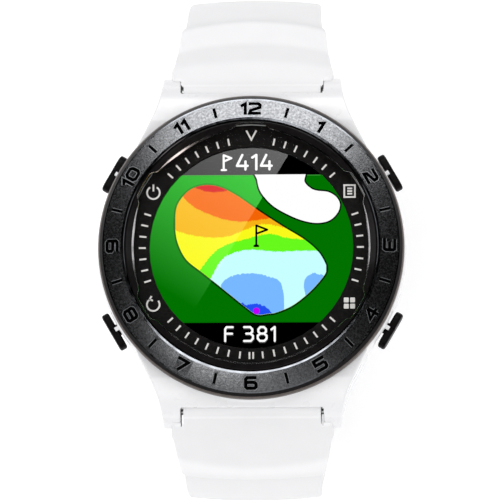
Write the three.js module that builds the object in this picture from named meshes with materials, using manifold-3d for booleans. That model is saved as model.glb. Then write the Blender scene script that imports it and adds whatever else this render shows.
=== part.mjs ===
// A golf GPS watch with a round metal bezel, four side buttons and a moulded rubber strap, unbuckled and
// standing on the curl of its strap. Units are millimetres. The case back's outer face is at z = 0, +Z comes
// out of the glass, +Y points to 12 o'clock and +X to 3 o'clock.
import * as THREE from "three";
import { mergeVertices } from "three/addons/utils/BufferGeometryUtils.js";
import Module from "manifold-3d";

const wasm = await Module();
wasm.setup();

// ---- driving dimensions -------------------------------------------------------------------------------

const CASE_R = 23.25; // plan radius of the case
const CASE_BOTTOM = 1.0; // z of the case's underside, which the case back closes
const SHOULDER = 9.7; // z of the ledge under the bezel
const RIM_TOP = 11.9; // z of the upstand inside the bezel
const SEAT_R = 19.35; // bore that the glass drops into
const BORE_R = 17.6; // bore that holds the electronics
const GLASS_TOP = 12.0;
const GLASS_R = 18.7;
const BEZEL_R = 23.0;
const RING_NOTCHES = [0, 60, 120, 240, 300]; // degrees clockwise from 12 o'clock

const LUG_PIVOT_Y = 24.1; // the spring bar's axis
const LUG_PIVOT_Z = 5.0;
const LUG_TIP_R = 2.5;
const LUG_GAP = 11.0; // half the width between two lugs
const BARREL_R = 2.55; // the strap's round end
const STRAP_BLOCK = 10.6; // half width of the strap between the lugs
const TURN_GAP = 0.35; // clearance round what turns on the spring bar

const BUTTON_Z = 5.6;
const BUTTONS = { button_2: 30, button_4: -30, button_8: 210, button_10: 150 }; // degrees from +X
const BUTTON_STROKE = 0.6;
const PAD_IN = 23.0; // the pad's inner and outer faces, from the case's centre
const PAD_OUT = 24.55;

const SCREW_CIRCLE = 18.95; // radius of the circle of case back screws

const FINE = 64; // sides of the large rounds
const SMALL = 12; // sides of pins and holes

// ---- materials ----------------------------------------------------------------------------------------

const paint = (color, roughness, metalness = 0) =>
  new THREE.MeshStandardMaterial({ color, roughness, metalness });
const WHITE_CASE = paint(0xf2f3f5, 0.35);
const WHITE_RUBBER = paint(0xeeeff2, 0.6);
const GUNMETAL = paint(0x3c3d40, 0.4, 0.9);
const GLOSS_BLACK = paint(0x0a0a0b, 0.15);
const MATT_BLACK = paint(0x16130f, 0.6);
const CLEAR_GLASS = paint(0xd8dde0, 0.05);
const SCREEN = paint(0x0f7a12, 0.2);
const STEEL = paint(0xb9bcc0, 0.3, 1);
const GOLD = paint(0xc9a24a, 0.3, 1);
const SILICONE = paint(0x2b2b2d, 0.8);
const BOARD = paint(0x0f4a2a, 0.6);
const CERAMIC = paint(0xd9d2bf, 0.7);
const FOIL = paint(0x8f9398, 0.5, 0.5);

// ---- solids -------------------------------------------------------------------------------------------

// A geometry as a manifold-3d solid with its faces pointing out.
function solid(geometry) {
  const plain = geometry.index ? geometry.toNonIndexed() : geometry;
  const bare = new THREE.BufferGeometry().setAttribute("position", plain.getAttribute("position"));
  const merged = mergeVertices(bare, 1e-4);
  const build = (order) => {
    const triVerts = new Uint32Array(merged.index.array);
    if (order < 0) triVerts.reverse();
    return new wasm.Manifold(
      new wasm.Mesh({ numProp: 3, vertProperties: merged.attributes.position.array, triVerts }),
    );
  };
  const first = build(1);
  return first.volume() < 0 ? build(-1) : first;
}

// A named mesh of a solid.
function piece(name, made, material) {
  const { vertProperties, triVerts } = made.getMesh();
  const geometry = new THREE.BufferGeometry()
    .setAttribute("position", new THREE.BufferAttribute(vertProperties, 3))
    .setIndex(new THREE.BufferAttribute(triVerts, 1));
  const mesh = new THREE.Mesh(geometry, material);
  mesh.name = name;
  return mesh;
}

// A closed [radius, height] outline turned about Z.
function turned(outline, sides = FINE) {
  const points = outline.map(([r, z]) => new THREE.Vector2(r, z));
  if (outline.every(([r]) => r > 0)) points.push(points[0].clone());
  return solid(new THREE.LatheGeometry(points, sides).rotateX(Math.PI / 2));
}

const ring = (inner, outer, z0, z1, sides) =>
  turned([[inner, z0], [outer, z0], [outer, z1], [inner, z1]], sides);

const disc = (radius, z0, z1, sides) =>
  turned([[0, z0], [radius, z0], [radius, z1], [0, z1]], sides);

const box = (x, y, z) => solid(new THREE.BoxGeometry(x, y, z));

// A flat outline in X and Y, raised from z0 to z1.
function plate(shape, z0, z1) {
  const geometry = new THREE.ExtrudeGeometry(shape, { depth: z1 - z0, bevelEnabled: false, curveSegments: 4 });
  return solid(geometry).translate([0, 0, z0]);
}

// A side outline in Y and Z, extruded along X from x0 to x1.
function sidePlate(shape, x0, x1) {
  const turn = new THREE.Matrix4().makeBasis(
    new THREE.Vector3(0, 1, 0),
    new THREE.Vector3(0, 0, 1),
    new THREE.Vector3(1, 0, 0),
  );
  const geometry = new THREE.ExtrudeGeometry(shape, { depth: x1 - x0, bevelEnabled: false, curveSegments: 4 });
  return solid(geometry.applyMatrix4(turn)).translate([x0, 0, 0]);
}

// A rod along X.
const rodX = (radius, x0, x1, sides = SMALL) =>
  solid(new THREE.CylinderGeometry(radius, radius, x1 - x0, sides).rotateZ(Math.PI / 2)).translate([
    (x0 + x1) / 2, 0, 0,
  ]);

const tubeX = (inner, outer, x0, x1, sides) =>
  rodX(outer, x0, x1, sides).subtract(rodX(inner, x0 - 1, x1 + 1, sides));

// A rectangle with round corners, centred on the origin.
function roundedRect(halfWidth, halfHeight, corner) {
  const shape = new THREE.Shape();
  const [w, h, c] = [halfWidth, halfHeight, corner];
  shape.moveTo(-w + c, -h).lineTo(w - c, -h);
  shape.absarc(w - c, -h + c, c, -Math.PI / 2, 0, false);
  shape.absarc(w - c, h - c, c, 0, Math.PI / 2, false);
  shape.absarc(-w + c, h - c, c, Math.PI / 2, Math.PI, false);
  shape.absarc(-w + c, -h + c, c, Math.PI, Math.PI * 1.5, false);
  return shape;
}

// A capsule-ended block along X: a rounded rectangle in Y and Z between x0 and x1.
const padBlock = (halfLength, halfHeight, x0, x1) =>
  sidePlate(roundedRect(halfLength, halfHeight, halfHeight * 0.8), x0, x1);

// A solid skinned over rings of points that all have the same count.
function loft(rings) {
  const count = rings[0].length;
  const position = rings.flat().flatMap((p) => [p.x, p.y, p.z]);
  const index = [];
  for (let i = 0; i + 1 < rings.length; i++)
    for (let k = 0; k < count; k++) {
      const [a, b] = [i * count + k, i * count + ((k + 1) % count)];
      index.push(a, b, b + count, a, b + count, a + count);
    }
  const last = (rings.length - 1) * count;
  for (let k = 1; k + 1 < count; k++) {
    index.push(0, k + 1, k);
    index.push(last, last + k, last + k + 1);
  }
  const geometry = new THREE.BufferGeometry()
    .setAttribute("position", new THREE.Float32BufferAttribute(position, 3))
    .setIndex(index);
  return solid(geometry);
}

// A coil spring along X from x0 to x1.
function coilX(radius, wire, turns, x0, x1) {
  const points = [];
  const steps = turns * 8;
  for (let i = 0; i <= steps; i++) {
    const angle = (i / 8) * 2 * Math.PI;
    const x = x0 + wire + ((x1 - x0 - 2 * wire) * i) / steps;
    points.push(new THREE.Vector3(x, radius * Math.cos(angle), radius * Math.sin(angle)));
  }
  const path = new THREE.CatmullRomCurve3(points);
  const wireSection = new THREE.Shape().absarc(0, 0, wire, 0, 2 * Math.PI, false);
  const options = { extrudePath: path, steps, bevelEnabled: false, curveSegments: 4 };
  return solid(new THREE.ExtrudeGeometry(wireSection, options));
}

const degrees = (angle) => (angle * Math.PI) / 180;
const clockwise = (angle) => degrees(90 - angle); // a dial angle as an angle from +X
const root = new THREE.Group();

// ---- case ---------------------------------------------------------------------------------------------

// Half of the plan outline of the pair of lugs at 12 o'clock, mirrored to make the whole.
function lugPlan() {
  const half = [
    new THREE.Vector2(17.3, 15.6),
    new THREE.Vector2(15.75, 18.6),
    new THREE.Vector2(14.45, 21.4),
    new THREE.Vector2(13.75, 23.8),
    new THREE.Vector2(13.35, 26.1),
  ];
  const flank = new THREE.SplineCurve(half).getPoints(8);
  const shape = new THREE.Shape();
  shape.moveTo(0, 8);
  shape.lineTo(flank[0].x, 8);
  flank.forEach((p) => shape.lineTo(p.x, p.y));
  shape.quadraticCurveTo(13.3, 26.7, 12.8, 26.7);
  shape.lineTo(-12.8, 26.7);
  shape.quadraticCurveTo(-13.3, 26.7, -13.35, 26.1);
  flank.reverse().forEach((p) => shape.lineTo(-p.x, p.y));
  shape.lineTo(-flank.at(-1).x, 8);
  return shape;
}

// The lugs seen from the side: they fall away from the shoulder to a round end about the spring bar.
function lugSide() {
  const shape = new THREE.Shape();
  shape.moveTo(8, CASE_BOTTOM);
  shape.lineTo(19.5, CASE_BOTTOM + 0.2);
  shape.lineTo(LUG_PIVOT_Y - 0.6, LUG_PIVOT_Z - LUG_TIP_R + 0.08);
  shape.absarc(LUG_PIVOT_Y, LUG_PIVOT_Z, LUG_TIP_R, degrees(-95), degrees(58), false);
  shape.bezierCurveTo(24.0, 8.6, 22.5, 9.4, 19.5, SHOULDER);
  shape.lineTo(8, SHOULDER);
  return shape;
}

function midCase() {
  const body = turned([
    [0, CASE_BOTTOM], [20.5, CASE_BOTTOM], [22.0, 2.0], [22.95, 3.8], [CASE_R, 5.6], [CASE_R, 8.3],
    [23.1, 9.3], [22.7, SHOULDER], [20.6, SHOULDER], [20.6, RIM_TOP], [0, RIM_TOP],
  ]);
  const lugs = plate(lugPlan(), 0, 12).intersect(sidePlate(lugSide(), -20, 20));
  let made = body.add(lugs).add(lugs.rotate([0, 0, 180]));

  const cavity = disc(BORE_R, 0, 10.3).add(disc(SEAT_R, 10.3, 13));
  made = made.subtract(cavity);

  // The strap's seat between each pair of lugs, with the spring bar's blind holes.
  const seatLip = 23.85;
  const turnRoom = rodX(BARREL_R + 0.3, -LUG_GAP, LUG_GAP, 32).translate([0, LUG_PIVOT_Y, LUG_PIVOT_Z]);
  const openRoom = box(2 * LUG_GAP, 6, 14).translate([0, seatLip + 3, LUG_PIVOT_Z]);
  const barHoles = rodX(0.65, -12.6, 12.6).translate([0, LUG_PIVOT_Y, LUG_PIVOT_Z]);
  const seat = turnRoom.add(openRoom).add(barHoles);
  made = made.subtract(seat).subtract(seat.rotate([0, 0, 180]));

  // Each button's pocket, spring room, seal groove and stem bore, with a guide nib over the pocket.
  const pocket = padBlock(3.35, 1.85, PAD_IN - BUTTON_STROKE - 0.25, CASE_R + 2)
    .add(rodX(1.75, 20.6, CASE_R))
    .add(rodX(1.45, 19.0, 19.9))
    .add(rodX(1.1, BORE_R - 1, CASE_R));
  const nib = box(1.4, 0.6, 0.75).translate([PAD_IN + 0.15, 0, BUTTON_Z + 1.65]);
  for (const angle of Object.values(BUTTONS)) {
    made = made.subtract(pocket.translate([0, 0, BUTTON_Z]).rotate([0, 0, angle]));
    made = made.add(nib.rotate([0, 0, angle]));
  }

  // Four blind screw holes in the underside.
  const screwHole = rodX(0.7, 0, 5, 12).rotate([0, -90, 0]);
  for (const angle of [45, 135, 225, 315])
    made = made.subtract(
      screwHole.translate([SCREW_CIRCLE * Math.cos(degrees(angle)), SCREW_CIRCLE * Math.sin(degrees(angle)), 0]),
    );
  return piece("mid_case", made, WHITE_CASE);
}

root.add(midCase());

// ---- bezel, glass and dial ----------------------------------------------------------------------------

root.add(
  piece("bezel_gasket", ring(20.95, 22.3, SHOULDER + 0.05, SHOULDER + 0.35), SILICONE),
  piece(
    "bezel",
    turned([
      [20.85, 10.1], [BEZEL_R, 10.1], [BEZEL_R, 11.2], [22.15, 12.4], [22.0, 12.5], [19.4, 13.3],
      [18.98, 13.15], [18.98, 12.15], [20.85, 12.15],
    ]),
    GUNMETAL,
  ),
  piece("glass_gasket", ring(18.85, 19.2, 10.95, 11.85, 48), SILICONE),
  piece(
    "front_glass",
    turned([[0, 10.9], [GLASS_R, 10.9], [GLASS_R, 11.9], [17.4, 11.9], [17.3, GLASS_TOP], [0, GLASS_TOP]], 48),
    CLEAR_GLASS,
  ),
  piece("dial_mask", ring(15.3, 18.6, 10.4, 10.7, 48), MATT_BLACK),
);

// The sloping black ring inside the bezel, notched where the dial has an icon.
function innerRing() {
  let made = turned([[17.7, 12.1], [18.88, 12.1], [18.88, 13.0], [18.6, 13.0], [17.7, 12.35]]);
  const notchShape = new THREE.Shape();
  notchShape.moveTo(16.5, -3.2).lineTo(17.9, -2.7).lineTo(18.65, -1.7);
  notchShape.lineTo(18.65, 1.7).lineTo(17.9, 2.7).lineTo(16.5, 3.2);
  const notch = plate(notchShape, 11, 14);
  for (const angle of RING_NOTCHES) made = made.subtract(notch.rotate([0, 0, 90 - angle]));
  return piece("inner_ring", made, GLOSS_BLACK);
}

root.add(innerRing());

// ---- display and electronics --------------------------------------------------------------------------

const block = (name, size, centre, material) =>
  piece(name, box(...size).translate(centre), material);

root.add(
  piece("lcd_panel", disc(16.1, 9.15, 10.15, 48), SCREEN),
  piece("backlight", disc(16.1, 8.45, 9.05, 48), CERAMIC),
  piece("display_frame", ring(16.4, 17.3, 7.25, 10.1, 48), MATT_BLACK),
  piece("main_board", disc(15.8, 6.2, 7.0, 40), BOARD),
  block("shield_can", [12, 9, 1.0], [-4, -2, 7.65], STEEL),
  block("gps_antenna", [12, 4.5, 1.0], [0, 11.2, 7.65], CERAMIC),
  block("battery", [22, 17, 3.2], [0, -3, 3.85], FOIL),
  block("battery_pad", [20, 15, 0.4], [0, -3, 5.8], SILICONE),
  piece("vibration_motor", disc(4, 3.2, 6.0, 24).translate([0, 10.8, 0]), STEEL),
);

// ---- case back ----------------------------------------------------------------------------------------

const CONTACTS = [-4.5, -1.5, 1.5, 4.5]; // x of the charging contacts
const CONTACT_Y = -9;

function caseBack() {
  let made = turned([[0, 0], [19.6, 0], [20.2, 0.4], [20.2, 0.9], [17.1, 0.9], [17.1, 1.9], [0, 1.9]]);
  for (const x of CONTACTS) made = made.subtract(disc(1.1, -1, 3, SMALL).translate([x, CONTACT_Y, 0]));
  const sink = disc(1.35, -1, 0.55, SMALL).add(disc(0.7, 0, 2, SMALL));
  for (const angle of [45, 135, 225, 315])
    made = made.subtract(sink.translate([SCREW_CIRCLE, 0, 0]).rotate([0, 0, angle]));
  return piece("case_back", made, MATT_BLACK);
}

root.add(caseBack(), piece("case_back_gasket", ring(17.2, 17.5, 1.15, 1.75, 48), SILICONE));

CONTACTS.forEach((x, i) => {
  const contact = piece(`charge_contact_${i + 1}`, disc(0.9, 0.05, 2.0, SMALL), GOLD);
  contact.position.set(x, CONTACT_Y, 0);
  root.add(contact);
});

for (let i = 0; i < 4; i++) {
  const slot = box(1.4, 0.35, 0.5).translate([0, 0, 0.1]);
  const made = disc(1.15, 0.1, 0.5, SMALL).add(disc(0.5, 0.4, 3.8, 12)).subtract(slot);
  const screw = piece(`case_back_screw_${i + 1}`, made, STEEL);
  screw.position.set(SCREW_CIRCLE * Math.cos(degrees(45 + 90 * i)), SCREW_CIRCLE * Math.sin(degrees(45 + 90 * i)), 0);
  root.add(screw);
}

// ---- buttons: each is built along +X and turned to its place -------------------------------------------

for (const [name, angle] of Object.entries(BUTTONS)) {
  const notch = box(4, 1.0, 1.2).translate([PAD_IN + 1, 0, 1.7]);
  const button = padBlock(3.0, 1.5, PAD_IN, PAD_OUT).subtract(notch).add(rodX(0.9, 16.75, PAD_IN + 0.3));
  const clipGroove = tubeX(0.65, 1.2, 17.0, 17.36);
  const clip = tubeX(0.75, 1.5, 17.06, 17.3).subtract(box(1, 1.2, 2).translate([17.2, 0, -1]));
  const place = new THREE.Group();
  place.rotation.z = degrees(angle);
  place.position.z = BUTTON_Z;
  place.add(
    piece(name, button.subtract(clipGroove), MATT_BLACK),
    piece(`${name}_clip`, clip, STEEL),
    piece(`${name}_spring`, coilX(1.35, 0.16, 3, 20.7, PAD_IN - 0.1), STEEL),
    piece(`${name}_seal`, tubeX(1.0, 1.35, 19.15, 19.75), SILICONE),
    piece(`${name}_switch`, box(1.9, 3.4, 2.2).translate([14.9, 0, -0.6]).add(rodX(0.5, 15.5, 16.05)), MATT_BLACK),
  );
  root.add(place);
}

// ---- strap: each half is built from its spring bar outwards along +Y ------------------------------------

// Arcs that follow each other: [length, turn in degrees]. The heading is measured from +Y towards +Z.
const START_HEADING = -24;
const UPPER_PATH = [[9, -8], [16.5, -56], [12.5, -12], [15.5, -40], [20.5, 0]];
const LOWER_PATH = [[8.3, -18], [10.2, -57], [46, -7], [26, -74], [32, 0]];
const lengthOf = (path) => path.reduce((sum, [length]) => sum + length, 0);

// The point and heading at a distance along a path.
function along(path, distance) {
  let [y, z, heading, left] = [0, 0, degrees(START_HEADING), distance];
  for (const [length, turn] of path) {
    const step = Math.min(left, length);
    const bend = degrees((turn * step) / length);
    const chord = bend === 0 ? step : (2 * Math.sin(bend / 2) * step) / bend;
    y += chord * Math.cos(heading + bend / 2);
    z += chord * Math.sin(heading + bend / 2);
    heading += bend;
    left -= step;
    if (left <= 0) break;
  }
  return { y, z, heading };
}

// Values between the [distance, value] pairs of a table, in straight lines.
function between(table, distance) {
  const next = table.findIndex(([at]) => at >= distance);
  if (next < 0) return table.at(-1)[1];
  if (next === 0) return table[0][1];
  const [[d0, v0], [d1, v1]] = [table[next - 1], table[next]];
  return v0 + ((v1 - v0) * (distance - d0)) / (d1 - d0);
}

// Near the case each half is wide and thick, as far as a step.
const UPPER_STEP = 12.4;
const LOWER_STEP = 10.1;
const halfWidth = (step) => [[2.2, 12.3], [4, 11.9], [step, 11.0], [step + 0.4, 10.4], [17, 9.95], [34, 9.6]];
const outerSide = (step) => [[0, 2.55], [7, 2.5], [step, 2.2], [step + 0.3, 1.55], [17, 1.5], [34, 1.3]];
const INNER = [[0, 2.55], [4, 2.3], [10, 1.7], [20, 1.4], [34, 1.3]];

// The strap's section at a distance: a flat band with its outer edges rounded off.
function section(path, step, distance, half) {
  const { y, z, heading } = along(path, distance);
  const [outer, inner] = [between(outerSide(step), distance), between(INNER, distance)];
  const outline = [
    [-half, -inner + 0.4], [-half + 0.6, -inner], [half - 0.6, -inner], [half, -inner + 0.4],
    [half, outer - 0.8], [half - 1.4, outer], [-half + 1.4, outer], [-half, outer - 0.8],
  ];
  return outline.map(
    ([x, up]) =>
      new THREE.Vector3(x, y - up * Math.sin(heading), z + up * Math.cos(heading)),
  );
}

// A solid built in the flat frame of a place on the strap: +Y along the strap and +Z out of it.
function placedOn(path, distance, made) {
  const { y, z, heading } = along(path, distance);
  return made.rotate([(heading * 180) / Math.PI, 0, 0]).translate([0, y, z]);
}

function strapBand(path, step) {
  const total = lengthOf(path);
  const stations = [1.5, 4, 7, step, step + 0.4, step + 1.6, step + 3.6, 17.5];
  for (let d = 21; d < total - 3; d += 3.6) stations.push(d);
  stations.push(total);
  const band = loft(stations.map((d) => section(path, step, d, between(halfWidth(step), d))));
  const blockRings = [1.2, 3.5, 5.5].map((d) => section(path, step, d, STRAP_BLOCK));
  const sideRoom = 14 - STRAP_BLOCK;
  const besideLug = box(sideRoom, 2 * (LUG_TIP_R + TURN_GAP), 16).translate([STRAP_BLOCK + sideRoom / 2, 0, 0]);
  return band
    .subtract(besideLug)
    .subtract(besideLug.rotate([0, 180, 0]))
    .add(loft(blockRings))
    .add(rodX(BARREL_R, -STRAP_BLOCK, STRAP_BLOCK, 32))
    .subtract(box(30, 6, 12).translate([0, -3 - BARREL_R, 0]))
    .subtract(rodX(1.15, -12, 12));
}

const KEEPER_WALL = 1.1;
const TAIL_ROOM = 3.0; // the height that a keeper leaves for the other half's tail
const BAND_HALF = 9.6; // the strap's half width and half thickness along its last stretch
const BAND_THICK = 1.3;

// A keeper loop round the band, in the strap's flat frame. gap is its play round the band.
function keeperLoop(length, gap) {
  const [low, high] = [-BAND_THICK - gap, BAND_THICK + TAIL_ROOM];
  const middle = (low + high) / 2;
  const [w, h] = [BAND_HALF + gap, (high - low) / 2];
  const outer = roundedRect(w + KEEPER_WALL, h + KEEPER_WALL, 1.6);
  outer.holes.push(roundedRect(w, h, 0.6));
  return plate(outer, -length / 2, length / 2).rotate([90, 0, 0]).translate([0, 0, middle]);
}

const FIXED_KEEPER = 6.0; // distance of each keeper's middle from the buckle's bar
const FREE_KEEPER = 12.5;
const BUCKLE_BAR_R = 0.8;
const STRAP_END_R = 1.9; // the upper half's round end about the buckle's bar

function upperStrap() {
  const total = lengthOf(UPPER_PATH);
  const end = rodX(STRAP_END_R, -9.4, 9.4, 24).subtract(rodX(BUCKLE_BAR_R + 0.2, -12, 12));
  const tongueRoom = box(3.4, 9, 8).translate([0, -1, 0]);
  const barRoom = rodX(STRAP_END_R - 0.1, -12, 12, 24);
  let made = strapBand(UPPER_PATH, UPPER_STEP)
    .subtract(placedOn(UPPER_PATH, total, barRoom))
    .add(placedOn(UPPER_PATH, total, end))
    .subtract(placedOn(UPPER_PATH, total, tongueRoom));
  // The fixed keeper is moulded with the band, so its inner walls run into it.
  made = made.add(placedOn(UPPER_PATH, total - FIXED_KEEPER, keeperLoop(4.2, -0.2)));
  return piece("upper_strap", made, WHITE_RUBBER);
}

function lowerStrap() {
  const total = lengthOf(LOWER_PATH);
  let made = strapBand(LOWER_PATH, LOWER_STEP);
  // The tip is rounded in plan by cutting its two corners.
  const tip = new THREE.Shape();
  tip.moveTo(-14, -BAND_HALF).lineTo(-14, 4).lineTo(14, 4).lineTo(14, -BAND_HALF).lineTo(BAND_HALF, -BAND_HALF);
  tip.absellipse(0, -BAND_HALF, BAND_HALF, BAND_HALF - 0.05, 0, Math.PI, false);
  made = made.subtract(placedOn(LOWER_PATH, total, plate(tip, -4, 4)));
  for (let i = 0; i < 8; i++) {
    const hole = plate(roundedRect(1.15, 1.6, 0.9), -4, 4);
    made = made.subtract(placedOn(LOWER_PATH, total - 16 - 6 * i, hole));
  }
  return piece("lower_strap", made, WHITE_RUBBER);
}

// A spring bar: a tube with a tip that slides in each end and snaps into the lug, and a spring between them.
function springBar(name) {
  const tip = rodX(0.45, 6.4, 12.3, 12).add(rodX(0.8, 10.1, 10.4, 12));
  return [
    piece(`${name}_tube`, tubeX(0.65, 0.95, -8.6, 8.6), STEEL),
    piece(`${name}_tip_a`, tip, STEEL),
    piece(`${name}_tip_b`, tip.rotate([0, 180, 0]), STEEL),
    piece(`${name}_spring`, coilX(0.45, 0.1, 5, -6.3, 6.3), STEEL),
  ];
}

// The buckle, with its bar on the X axis, its frame along +Y and its outer side towards +Z.
function buckleFrame() {
  const [reach, half, arm] = [12.4, 12.2, 2.0];
  const outer = new THREE.Shape();
  outer.moveTo(-half, -2.0).lineTo(-half + arm, -2.0).lineTo(-half + arm, reach - 2.4);
  outer.lineTo(half - arm, reach - 2.4).lineTo(half - arm, -2.0).lineTo(half, -2.0);
  outer.lineTo(half, reach - 2.5).quadraticCurveTo(half, reach, half - 2.5, reach);
  outer.lineTo(-half + 2.5, reach).quadraticCurveTo(-half, reach, -half, reach - 2.5);
  const holes = rodX(BUCKLE_BAR_R + 0.15, -11.6, 11.6);
  return piece("buckle_frame", plate(outer, -1.1, 1.1).subtract(holes), STEEL);
}

function buckleTongue() {
  const shape = new THREE.Shape();
  shape.moveTo(0.9, 0.2).lineTo(9.4, 1.15).lineTo(12.6, 1.25).lineTo(13.1, 1.5).lineTo(12.9, 2.1);
  shape.lineTo(9.2, 2.25).lineTo(0.9, 1.5);
  const eye = rodX(1.5, -1.1, 1.1).subtract(rodX(BUCKLE_BAR_R + 0.15, -2, 2));
  const blade = sidePlate(shape, -1.1, 1.1).subtract(rodX(BUCKLE_BAR_R + 0.15, -2, 2));
  return piece("buckle_tongue", blade.add(eye), STEEL);
}

// A group at a place on the strap, with +Y along the strap and +Z out of it.
function stationGroup(path, distance) {
  const { y, z, heading } = along(path, distance);
  const group = new THREE.Group();
  group.position.set(0, y, z);
  group.rotation.x = heading;
  return group;
}

const upperEnd = lengthOf(UPPER_PATH);
const buckle = stationGroup(UPPER_PATH, upperEnd);
buckle.add(buckleFrame(), buckleTongue(), piece("buckle_bar", rodX(BUCKLE_BAR_R, -11.4, 11.4), STEEL));
const freeKeeper = stationGroup(UPPER_PATH, upperEnd - FREE_KEEPER);
freeKeeper.add(piece("free_keeper", keeperLoop(4.6, 0.4), WHITE_RUBBER));

const upper = new THREE.Group();
upper.position.set(0, LUG_PIVOT_Y, LUG_PIVOT_Z);
upper.add(upperStrap(), ...springBar("upper_bar"), buckle, freeKeeper);

const lower = new THREE.Group();
lower.position.set(0, -LUG_PIVOT_Y, LUG_PIVOT_Z);
lower.rotation.z = Math.PI;
lower.add(lowerStrap(), ...springBar("lower_bar"));

root.add(upper, lower);

export default root;
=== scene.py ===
"""A golf GPS watch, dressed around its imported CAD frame. Dimensions are in millimetres unless a name says
otherwise; Blender's own units are metres. +Z comes out of the glass and +Y points to 12 o'clock."""

import math

import bpy
from mathutils import Matrix, Vector


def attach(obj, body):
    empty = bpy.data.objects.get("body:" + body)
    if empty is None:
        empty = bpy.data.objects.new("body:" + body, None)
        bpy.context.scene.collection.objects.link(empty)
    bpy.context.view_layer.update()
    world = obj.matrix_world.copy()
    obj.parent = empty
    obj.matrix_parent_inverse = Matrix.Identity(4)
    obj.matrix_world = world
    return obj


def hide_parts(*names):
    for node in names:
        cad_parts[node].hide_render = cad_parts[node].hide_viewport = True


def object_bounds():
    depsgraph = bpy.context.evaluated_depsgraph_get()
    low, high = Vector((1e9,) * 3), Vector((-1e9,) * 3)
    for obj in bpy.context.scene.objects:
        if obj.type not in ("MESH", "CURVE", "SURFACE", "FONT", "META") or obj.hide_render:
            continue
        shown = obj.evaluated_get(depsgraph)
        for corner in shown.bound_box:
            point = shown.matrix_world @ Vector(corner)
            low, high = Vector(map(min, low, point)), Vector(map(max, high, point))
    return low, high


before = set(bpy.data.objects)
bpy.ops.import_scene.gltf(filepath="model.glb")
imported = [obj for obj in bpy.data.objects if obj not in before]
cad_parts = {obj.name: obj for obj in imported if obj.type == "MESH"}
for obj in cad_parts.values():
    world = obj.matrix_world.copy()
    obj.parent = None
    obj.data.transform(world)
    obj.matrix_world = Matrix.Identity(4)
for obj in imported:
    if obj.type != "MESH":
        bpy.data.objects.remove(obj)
CAD_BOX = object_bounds()
MM = 0.001

# ---- mesh helpers ----


def placed(name, data):
    """A new object of a mesh, a light or a camera, in the scene."""
    obj = bpy.data.objects.new(name, data)
    bpy.context.scene.collection.objects.link(obj)
    return obj


def shade(obj, angle=32):
    """Smooth shading, with edges sharper than the angle kept crisp."""
    obj.data.shade_smooth()
    obj.data.set_sharp_from_angle(angle=math.radians(angle))


def face_out(mesh):
    """Turns a closed mesh's faces round if they point inwards."""
    volume = 0.0
    for face in mesh.polygons:
        corners = [mesh.vertices[i].co for i in face.vertices]
        for second, third in zip(corners[1:], corners[2:]):
            volume += corners[0].dot(second.cross(third))
    if volume < 0:
        mesh.flip_normals()


def add_mesh(name, verts, faces, *materials, angle=32):
    """A new object from vertices in millimetres."""
    mesh = bpy.data.meshes.new(name)
    mesh.from_pydata([Vector(v) * MM for v in verts], [], faces)
    mesh.validate()
    face_out(mesh)
    obj = placed(name, mesh)
    for material in materials:
        mesh.materials.append(material)
    shade(obj, angle)
    return obj


def applied(obj):
    """Replaces an object's mesh by what its modifiers make of it."""
    graph = bpy.context.evaluated_depsgraph_get()
    mesh = bpy.data.meshes.new_from_object(obj.evaluated_get(graph))
    obj.modifiers.clear()
    obj.data = mesh
    return obj


def combine(obj, other, operation):
    """Cuts, joins or intersects an object with another, which is used up."""
    modifier = obj.modifiers.new("boolean", "BOOLEAN")
    modifier.operation = operation
    modifier.object = other
    modifier.solver = "MANIFOLD"
    modifier.material_mode = "TRANSFER"
    applied(obj)
    bpy.data.objects.remove(other)
    return obj


def cut(obj, other):
    return combine(obj, other, "DIFFERENCE")


def join(obj, other):
    return combine(obj, other, "UNION")


def bevel(obj, width, segments=3, angle=30):
    modifier = obj.modifiers.new("edges", "BEVEL")
    modifier.width = width * MM
    modifier.segments = segments
    modifier.limit_method = "ANGLE"
    modifier.angle_limit = math.radians(angle)
    return applied(obj)


def soften(obj, voxel, rounds, keep):
    """Moulded edges: a fine remesh, smoothed and thinned out again."""
    remesh = obj.modifiers.new("remesh", "REMESH")
    remesh.mode = "VOXEL"
    remesh.voxel_size = voxel * MM
    smooth = obj.modifiers.new("smooth", "SMOOTH")
    smooth.iterations = rounds
    thin = obj.modifiers.new("thin", "DECIMATE")
    thin.ratio = keep
    return applied(obj)


def moved(obj, matrix):
    obj.data.transform(matrix)
    return obj


def shift(x, y, z):
    return Matrix.Translation(Vector((x, y, z)) * MM)


def turn(angle, axis="Z"):
    return Matrix.Rotation(math.radians(angle), 4, axis)


def facing(side):
    """Turns what is built at 12 o'clock to its side, 1 for 12 o'clock and -1 for 6."""
    return turn(0 if side > 0 else 180)


def wall(faces, here, there, count):
    """Adds the faces between two rings of vertices that start at here and there."""
    for k in range(count):
        nxt = (k + 1) % count
        faces.append((here + k, here + nxt, there + nxt, there + k))


def loft(name, rings, *materials, closed=False, angle=32):
    """A skin over rings with the same number of points, capped unless the rings close on themselves."""
    count = len(rings[0])
    verts = [p for ring in rings for p in ring]
    faces = []
    for i in range(len(rings) if closed else len(rings) - 1):
        wall(faces, i * count, (i + 1) % len(rings) * count, count)
    if not closed:
        faces.append(tuple(reversed(range(count))))
        faces.append(tuple(range(len(verts) - count, len(verts))))
    return add_mesh(name, verts, faces, *materials, angle=angle)


def around(name, profile, *materials, steps=256, angle=32):
    """A ring about Z. profile gives its closed (radius, height) section at degrees clockwise from 12."""
    rings = []
    for i in range(steps):
        dial = 360 * i / steps
        sine, cosine = math.sin(math.radians(dial)), math.cos(math.radians(dial))
        rings.append([(r * sine, r * cosine, z) for r, z in profile(dial)])
    return loft(name, rings, *materials, closed=True, angle=angle)


def circle(radius, steps):
    angles = [2 * math.pi * i / steps for i in range(steps)]
    return [(radius * math.cos(angle), radius * math.sin(angle)) for angle in angles]


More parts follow.
